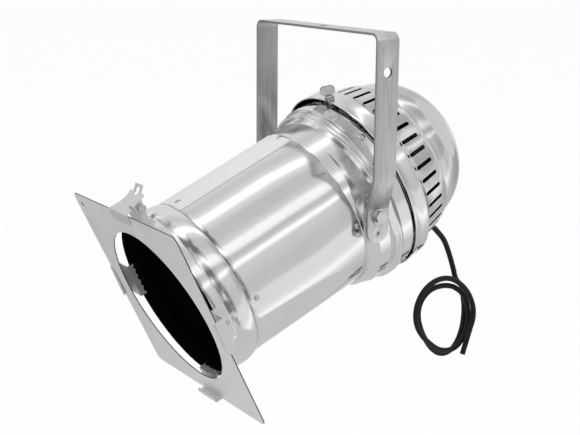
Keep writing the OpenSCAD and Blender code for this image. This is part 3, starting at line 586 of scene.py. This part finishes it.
# Pressed sheet parts are duller than the can that shares their slot
PRESSED = brushed_metal("pressed_sheet", 0.84, (0.3, 0.42), (600, 600, 600), 0.05, streaks=0.9, metallic=0.55)
PRESSED_NODES = ("top_latch", "latch_bracket", "side_clip_near", "side_clip_far", "bottom_clip")
STRAP_EDGE = plain_material("strap_edge", (0.3, 0.42), (0.3, 0.4), 300, Metallic=1.0)
# Near-black painted shade on cut edges and the walls of holes
CUT_EDGE_SHADE = plain_material("cut_edge_painted_shade", (0.03, 0.08), (0.45, 0.6), 400, Metallic=0.5)

node_slot = {entry["node"]: entry["material_slot"] for entry in frame["record"]["subparts"]}
for node, piece in frame["nodes"].items():
    finish = PRESSED if node in PRESSED_NODES else FINISH[node_slot[node]]
    for material_slot in piece.material_slots:
        material_slot.material = finish
cord.data.materials.append(FINISH["cord_rubber"])
print("finishes:", len(FINISH), "CAD nodes with a finish:", len(node_slot))

# %% [markdown]
# ## Working tools
#
# The pieces are modelled the way they would be by hand: a primitive is placed, its edges are extruded,
# scaled and bevelled, and modifiers are applied. These few helpers keep each step short.

# %% Helpers for modelling
SMOOTH_BELOW, BEVEL_ABOVE = math.radians(30), math.radians(40)
AXIS_TURN = {"X": (0, math.pi / 2, 0), "Y": (math.pi / 2, 0, 0), "Z": (0, 0, 0)}


def only(obj):
    """Makes obj the one selected and active object."""
    bpy.ops.object.select_all(action="DESELECT")
    obj.select_set(True)
    bpy.context.view_layer.objects.active = obj


def leave():
    """Back to object mode."""
    bpy.ops.object.mode_set(mode="OBJECT")


def edit(obj, select=None):
    """Opens obj in edit mode with everything selected, or only the vertices that select accepts."""
    bpy.context.view_layer.objects.active = obj
    bpy.ops.object.mode_set(mode="EDIT")
    bpy.ops.mesh.select_mode(type="VERT")
    bpy.ops.mesh.select_all(action="SELECT" if select is None else "DESELECT")
    if select is not None:
        leave()
        for vertex in obj.data.vertices:
            vertex.select = bool(select(vertex.co))
        bpy.ops.object.mode_set(mode="EDIT")


def edit_edges_along(obj, axis):
    """Opens obj in edit mode with only the edges selected that run along one axis: 0, 1 or 2."""
    edit(obj, lambda spot: False)
    bpy.ops.mesh.select_mode(type="EDGE")
    leave()
    for side in obj.data.edges:
        start, end = (obj.data.vertices[i].co for i in side.vertices)
        side.select = abs(start[axis] - end[axis]) > 0.5 * MM
    bpy.ops.object.mode_set(mode="EDIT")


def normals_out(obj):
    """Turns every face of obj outwards."""
    edit(obj)
    bpy.ops.mesh.normals_make_consistent(inside=False)
    leave()


def modify(obj, kind, **settings):
    """Adds a modifier and applies it."""
    bpy.context.view_layer.objects.active = obj
    modifier = obj.modifiers.new(kind.lower(), kind)
    for key, value in settings.items():
        setattr(modifier, key, value)
    bpy.ops.object.modifier_apply(modifier=modifier.name)


def round_edges(obj, width, segments=2):
    """Bevels every sharp edge."""
    modify(obj, "BEVEL", width=width * MM, segments=segments, limit_method="ANGLE", angle_limit=BEVEL_ABOVE)


def give_wall(shell, thickness):
    """Thickens a shell inwards, with the second material on its inner skin and its rims."""
    modify(shell, "SOLIDIFY", thickness=thickness * MM, offset=-1, use_even_offset=True, material_offset=1,
           material_offset_rim=1)


def cut(obj, *cutters):
    """Cuts the shapes out of obj and removes them."""
    for cutter in cutters:
        modify(obj, "BOOLEAN", object=cutter, operation="DIFFERENCE", solver="EXACT")
        bpy.data.objects.remove(cutter)


def block(size, at=(0, 0, 0)):
    """A plain box of this size centred at a point, in millimetres."""
    bpy.ops.mesh.primitive_cube_add(size=1, location=[v * MM for v in at])
    made = bpy.context.object
    made.scale = [v * MM for v in size]
    bpy.ops.object.transform_apply()
    return made


def rod(radius, length, at=(0, 0, 0), axis="Z", sides=64):
    """A plain cylinder centred at a point, in millimetres."""
    bpy.ops.mesh.primitive_cylinder_add(vertices=sides, radius=radius * MM, depth=length * MM,
                                        location=[v * MM for v in at], rotation=AXIS_TURN[axis])
    return bpy.context.object


def set_down(obj, name, body, node, in_lamp=True, edge=0.0, segments=2):
    """Rounds the edges, moves a piece from the lamp frame to its place and ties it to the frame."""
    only(obj)
    obj.name = name
    bpy.ops.object.transform_apply()
    if edge:
        round_edges(obj, edge, segments)
    if in_lamp:
        obj.matrix_world = LAMP
        bpy.ops.object.transform_apply()
    normals_out(obj)
    bpy.ops.object.shade_smooth_by_angle(angle=SMOOTH_BELOW)
    obj.data.name = name
    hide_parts(node)
    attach(obj, body)
    print(name, len(obj.data.polygons), "faces")


def spun_shell(points, sides=192):
    """A ring drawn out and scaled from one (radius, s) to the next, bright outside and black inside."""
    radius, s = points[0]
    bpy.ops.mesh.primitive_circle_add(vertices=sides, radius=radius * MM, location=(0, s * MM, 0),
                                      rotation=AXIS_TURN["Y"])
    shell = bpy.context.object
    bpy.ops.object.transform_apply()
    edit(shell)
    for next_radius, next_s in points[1:]:
        bpy.ops.mesh.extrude_region_move(TRANSFORM_OT_translate={"value": (0, (next_s - s) * MM, 0)})
        wider = next_radius / radius
        bpy.ops.transform.resize(value=(wider, 1, wider), center_override=(0, next_s * MM, 0))
        radius, s = next_radius, next_s
    leave()
    normals_out(shell)
    for slot in ("bright_aluminium", "bore_black"):
        shell.data.materials.append(FINISH[slot])
    return shell


print("helpers for modelling ready")

# %% [markdown]
# ## The barrel and the front bell
#
# The barrel is one long rolled tube that widens slightly to the rear, with a lap seam near its top: the
# edge of the outer sheet, spun as a thin strip along the tube. The tube is polished outside and painted
# matt black inside, so it gets its thickness from a solidify with a second material for the inner skin.

# %% Barrel
SHEET = 1.0
BARREL = [(99.46, 52.6), (99.46, 60), (99.74, 100), (100.09, 150), (100.56, 217)]
# The lap: where its strip lies round the can and along it, and how far it stands out of the sheet and into it
LAP_FROM_TURN, LAP_TO_TURN = math.radians(79), math.radians(125)
LAP_FROM_S, LAP_TO_S = 53.4, 212
LAP_RISE, LAP_SINK = 0.8, 0.4

barrel = spun_shell(BARREL)
give_wall(barrel, SHEET)
round_edges(barrel, 0.2)


def lap_strip(front, back):
    """The edge of an overlapping sheet: a thin strip along the can, swept round it from the seam."""
    slope = math.atan((back[0] - front[0]) / (back[1] - front[1]))
    mid_s = (LAP_FROM_S + LAP_TO_S) / 2
    mid_r = front[0] + (mid_s - front[1]) * math.tan(slope)
    bpy.ops.mesh.primitive_plane_add(size=1, location=(0, 0, 0))
    strip = bpy.context.object
    strip.scale = ((LAP_RISE + LAP_SINK) * MM, (LAP_TO_S - LAP_FROM_S) * MM, 1)
    strip.rotation_euler = (0, 0, -slope)
    strip.location = ((mid_r + (LAP_RISE - LAP_SINK) / 2) * MM, mid_s * MM, 0)
    bpy.ops.object.transform_apply()
    strip.rotation_euler = (0, -LAP_FROM_TURN, 0)
    bpy.ops.object.transform_apply()
    edit(strip)
    bpy.ops.mesh.spin(steps=30, angle=LAP_TO_TURN - LAP_FROM_TURN, center=(0, 0, 0), axis=(0, 1, 0))
    leave()
    normals_out(strip)
    round_edges(strip, 0.3, 3)
    return strip


lap = lap_strip(BARREL[1], BARREL[-1])
only(lap)
barrel.select_set(True)
bpy.context.view_layer.objects.active = barrel
bpy.ops.object.join()
set_down(barrel, "barrel_tube", "can", "barrel")

# %% [markdown]
# The bell is a spun ring on the barrel's front end: a straight collar that carries the clips, a shallow
# groove, a soft swelling and a step down to a neck inside the barrel. It is made as the barrel is. The
# swelling's profile is smoothed before it is spun, because a mirror surface shows every hard bend.

# %% Front bell
BELL_COLLAR = [(102, 11.7), (102, 17), (102, 23.4)]
BELL_SWELLING = [(102, 23.4), (101.1, 25), (102, 28.5), (102.8, 33), (103.1, 38), (102.8, 43), (101.9, 47.5),
                 (100.6, 51.2), (99.5, 52.3)]
BELL_NECK = [(98.5, 52.9), (98.44, 56), (98.44, 70)]

swelling = [(point.x, point.y) for point in smooth_line([Vector((r, s, 0)) for r, s in BELL_SWELLING], 3)]
bell = spun_shell(BELL_COLLAR + swelling[1:] + BELL_NECK)
give_wall(bell, SHEET)
set_down(bell, "bell_ring", "can", "front_bell", edge=0.25)

# %% [markdown]
# ## The lid
#
# The lid is one deep spun shell: a small hem at its mouth, a skirt, a rounded shoulder, a tapering band
# with the cooling slots, a ledge and the domed back, which is half an ellipse. It is drawn as one profile
# and closed by merging the last ring at the pole. Its inside is black behind the skirt, a painted shade,
# so the slots look dark.

# %% Lid shell
SKIRT_R, HEM_R, SKIN = 116, 116.6, 1.2
BLACK_FROM_S = 297
LID_WALLS = [(HEM_R, 276.7), (HEM_R, 278.8), (SKIRT_R, 279.9), (SKIRT_R, 288), (SKIRT_R, 295.8),
             (115.6, 297.7), (114.3, 299.4), (111.5, 302), (108.5, 304.6), (107.2, 307.2),
             (104.75, 319.7), (102.3, 332.4), (99.9, 341), (99.3, 342.2), (98, 342.9), (95.4, 343.4)]

dome = [(DOME_R * math.cos(math.radians(degrees)), DOME_S + DOME_DEPTH * math.sin(math.radians(degrees)))
        for degrees in range(2, 90, 3)]
lid = spun_shell(LID_WALLS + dome)
last_ring_y = dome[-1][1] * MM
edit(lid, lambda spot: spot.y > last_ring_y - 0.01 * MM)
bpy.ops.mesh.merge(type="CENTER")
leave()
normals_out(lid)
give_wall(lid, SKIN)
# Only the skirt's inside near the mouth is bright; further in, the black is painted shade
for face in lid.data.polygons:
    if face.center.y < BLACK_FROM_S * MM:
        face.material_index = 0
print("lid:", len(lid.data.polygons), "faces before its holes are cut")

# %% [markdown]
# Cooling slots with round ends run round the tapering band. One cutter is modelled: a box whose long edges
# are bevelled to half circles. It is copied round the lid and the copies are joined. The cutter's faces are
# black, a painted shade, because the boolean gives them to the walls of the slots, and a thin wall would
# otherwise shine.

# %% Slot cutters
SLOT_COUNT, SLOT_FIRST = 39, 3.3
SLOT_W, SLOT_FROM, SLOT_TO = 4.8, 306.3, 332.8
SLOT_CUT_R, SLOT_CUT_DEPTH = 105, 24
# The ends' bevels stop a hair short of half circles, so that two corners never fall together
SLOT_END_R = SLOT_W / 2 - 0.02

slot_cutter = block((SLOT_CUT_DEPTH, SLOT_TO - SLOT_FROM, SLOT_W), (SLOT_CUT_R, (SLOT_FROM + SLOT_TO) / 2, 0))
edit_edges_along(slot_cutter, 0)
bpy.ops.mesh.bevel(offset=SLOT_END_R * MM, segments=6, affect="EDGES")
leave()
copies = []
for i in range(SLOT_COUNT):
    copy = slot_cutter.copy()
    copy.data = slot_cutter.data.copy()
    bpy.context.collection.objects.link(copy)
    copy.matrix_world = Matrix.Rotation(-math.radians(SLOT_FIRST + 360 * i / SLOT_COUNT), 4, "Y")
    copies.append(copy)
bpy.data.objects.remove(slot_cutter)
only(copies[0])
for copy in copies:
    copy.select_set(True)
bpy.ops.object.join()
slots = bpy.context.object
only(slots)
bpy.ops.object.transform_apply()
for slot in ("bright_aluminium", "bore_black"):
    slots.data.materials.append(FINISH[slot])
# Black slot walls: painted shade
for face in slots.data.polygons:
    face.material_index = 1
print("slots:", SLOT_COUNT)

# %% [markdown]
# The skirt has a notch for the thumb screw, open to the front and leaning with the screw, and the dome has
# a round hole for the gland, square to its surface. They are cut last, as in the real lid.

# %% Notch and gland hole
SCREW_S, SCREW_LEAN = 281.5, math.radians(7)
NOTCH_R, NOTCH_OPEN, NOTCH_AT = 3.2, 12, 115
GLAND_HOLE_R = 6
CUTTER_LENGTH = 30

notch = rod(NOTCH_R, CUTTER_LENGTH, (0, SCREW_S, NOTCH_AT))
channel = block((2 * NOTCH_R, NOTCH_OPEN, CUTTER_LENGTH), (0, SCREW_S - NOTCH_OPEN / 2, NOTCH_AT))
modify(notch, "BOOLEAN", object=channel, operation="UNION", solver="EXACT")
bpy.data.objects.remove(channel)
only(notch)
notch.matrix_world = Matrix.Rotation(SCREW_LEAN, 4, "Y") @ notch.matrix_world
bpy.ops.object.transform_apply()
gland_hole = rod(GLAND_HOLE_R, CUTTER_LENGTH)
only(gland_hole)
gland_hole.matrix_world = (Matrix.Translation((0, GLAND_S * MM, -GLAND_Z * MM))
                           @ Matrix.Rotation(math.pi + GLAND_TURN, 4, "X"))
bpy.ops.object.transform_apply()
cut(lid, slots, notch, gland_hole)
set_down(lid, "lid_shell", "lid", "rear_lid", edge=0.15, segments=1)

# %% [markdown]
# ## The yoke
#
# The yoke is one aluminium strap, 30 by 3 millimetres, bent twice at the top and joggled inwards above the
# bolts. Half of it is drawn as a strip: the flat bar, a quarter turn made with spin, the arm, the joggle
# and the foot, whose corners are rounded. A mirror gives the other half and solidify the thickness.

# %% Strap
STRAP_W, STRAP_T = 30, 3
CORNER_R, BEND_R = 10, 5
ARM_X, FOOT_X = 122.5, 112
BEND_HIGH, BEND_LOW = 42.2 - PIVOT_DROP, 11.7 - PIVOT_DROP
FOOT_END = -PIVOT_DROP - 15.5 - STRAP_W / 2
# The foot's corners stop a hair short of a half circle, so that they never fall together
FOOT_END_R = STRAP_W / 2 - 0.01
SAME_PLACE = 1e-5
arm_mid, foot_mid = ARM_X - STRAP_T / 2, FOOT_X - STRAP_T / 2
bar_end, corner_z = ARM_X - CORNER_R, -(CORNER_R - STRAP_T / 2)


def edit_edge_at(obj, x, z):
    """Opens obj in edit mode with only the strip's edge at x, z selected."""
    edit(obj, lambda spot: abs(spot.x - x * MM) < SAME_PLACE and abs(spot.z - z * MM) < SAME_PLACE)
    bpy.ops.mesh.select_mode(type="EDGE")


bpy.ops.mesh.primitive_plane_add(size=1, location=(bar_end / 2 * MM, 0, 0))
strap = bpy.context.object
strap.scale = (bar_end * MM, STRAP_W * MM, 1)
bpy.ops.object.transform_apply()
edit_edge_at(strap, bar_end, 0)
bpy.ops.mesh.spin(steps=12, angle=-math.pi / 2, center=(bar_end * MM, 0, corner_z * MM), axis=(0, 1, 0))
leave()
edit_edge_at(strap, arm_mid, corner_z)
arm_down, joggle, foot_down = BEND_HIGH - corner_z, foot_mid - arm_mid, FOOT_END - BEND_LOW
for across, up in ((0, arm_down), (joggle, BEND_LOW - BEND_HIGH), (0, foot_down)):
    bpy.ops.mesh.extrude_region_move(TRANSFORM_OT_translate={"value": (across * MM, 0, up * MM)})
leave()
for x, z in ((arm_mid, BEND_HIGH), (foot_mid, BEND_LOW)):
    edit_edge_at(strap, x, z)
    bpy.ops.mesh.bevel(offset=BEND_R * MM, segments=6, affect="EDGES")
    leave()
edit(strap, lambda spot: abs(spot.z - FOOT_END * MM) < SAME_PLACE)
bpy.ops.mesh.bevel(offset=FOOT_END_R * MM, segments=16, affect="VERTICES")
leave()
modify(strap, "MIRROR", use_axis=(True, False, False), merge_threshold=SAME_PLACE)
edit(strap)
bpy.ops.mesh.remove_doubles(threshold=SAME_PLACE)
leave()
normals_out(strap)
modify(strap, "SOLIDIFY", thickness=STRAP_T * MM, offset=0, use_even_offset=True)
print("strap:", len(strap.data.polygons), "faces before its holes are drilled")

# %% [markdown]
# The holes are cut last, as they are drilled in the real strap: the hanging hole in the bar, the large hole
# high on the near arm, and in each foot the bolt's hole and a small one under it. The strap's narrow sides
# get a darker grey, and the walls of the two large holes a near-black painted shade.

# %% Holes and edges of the strap
HANGING_HOLE_R, ARM_HOLE_R, BOLT_HOLE_R, SMALL_HOLE_R = 5.25, 5.5, 4.06, 2.2
ARM_HOLE_Z, SMALL_HOLE_Z = 162.4 - PIVOT_DROP, -PIVOT_DROP - 19.4
THROUGH_STRAP, THROUGH_BOTH = 20, 260
# Each large hole: the x and z of its centre and the axis that it runs along, 0 or 2
DARK_HOLES = ((0, 0, 2), (arm_mid, ARM_HOLE_Z, 0))
NEAR_HOLE_Y, NEAR_HOLE_XZ = 6, 7
BROAD, NARROW, HOLE = 0, 1, 2


def strap_finish(face):
    """Which of the strap's three finishes a face gets."""
    at = face.center / MM
    for x, z, axis in DARK_HOLES:
        near = abs(at.y) < NEAR_HOLE_Y and abs(at.x - x) + abs(at.z - z) < NEAR_HOLE_XZ
        if near and abs(face.normal[axis]) < 0.5:
            return HOLE
    return NARROW if abs(face.normal.y) > 0.7 else BROAD


hanging_hole = rod(HANGING_HOLE_R, THROUGH_STRAP)
arm_hole = rod(ARM_HOLE_R, THROUGH_STRAP, (arm_mid, 0, ARM_HOLE_Z), "X")
bolt_holes = rod(BOLT_HOLE_R, THROUGH_BOTH, (0, 0, -PIVOT_DROP), "X")
small_holes = rod(SMALL_HOLE_R, THROUGH_BOTH, (0, 0, SMALL_HOLE_Z), "X")
cut(strap, hanging_hole, arm_hole, bolt_holes, small_holes)
# The hole walls get the near-black painted shade, and the narrow sides a darker grey
for finish in (FINISH["yoke_aluminium"], STRAP_EDGE, CUT_EDGE_SHADE):
    strap.data.materials.append(finish)
for face in strap.data.polygons:
    face.material_index = strap_finish(face)
set_down(strap, "yoke_strap", "yoke", "yoke", in_lamp=False, edge=0.35)

# %% [markdown]
# ## The filter frame
#
# A square of thin sheet with a round opening holds a colour filter. It leans a little in its clips. A thin
# box gets its four corners rounded, then the opening and the small corner hole are cut. Its faces are split
# into triangles, because one face with a large hole in it shades badly. The cut edges get a near-black
# painted shade beside the brushed faces.

# %% Filter frame
FRAME_SIDE, FRAME_T, FRAME_CORNER_R = 250, 1.2, 8
FRAME_LEAN = math.radians(1.77)
# Centres across and up, from the middle of the frame
OPENING_R, OPENING_AT = 98.5, (1.3, 0, -1.4)
CORNER_HOLE_R, CORNER_HOLE_AT = 2.8, (-110.4, 0, 111.7)
THROUGH_FRAME = 20

plate = block((FRAME_SIDE, FRAME_T, FRAME_SIDE))
edit_edges_along(plate, 1)
bpy.ops.mesh.bevel(offset=FRAME_CORNER_R * MM, segments=10, affect="EDGES")
leave()
cut(plate, rod(OPENING_R, THROUGH_FRAME, OPENING_AT, "Y", 192),
    rod(CORNER_HOLE_R, THROUGH_FRAME, CORNER_HOLE_AT, "Y", 32))
modify(plate, "TRIANGULATE")
for finish in (FINISH["frame_aluminium"], CUT_EDGE_SHADE):
    plate.data.materials.append(finish)
# The edge faces get the near-black painted shade
for face in plate.data.polygons:
    face.material_index = 1 if abs(face.normal.y) < 0.5 else 0
plate.rotation_euler = (FRAME_LEAN, 0, 0)
set_down(plate, "filter_plate", "can", "filter_frame")
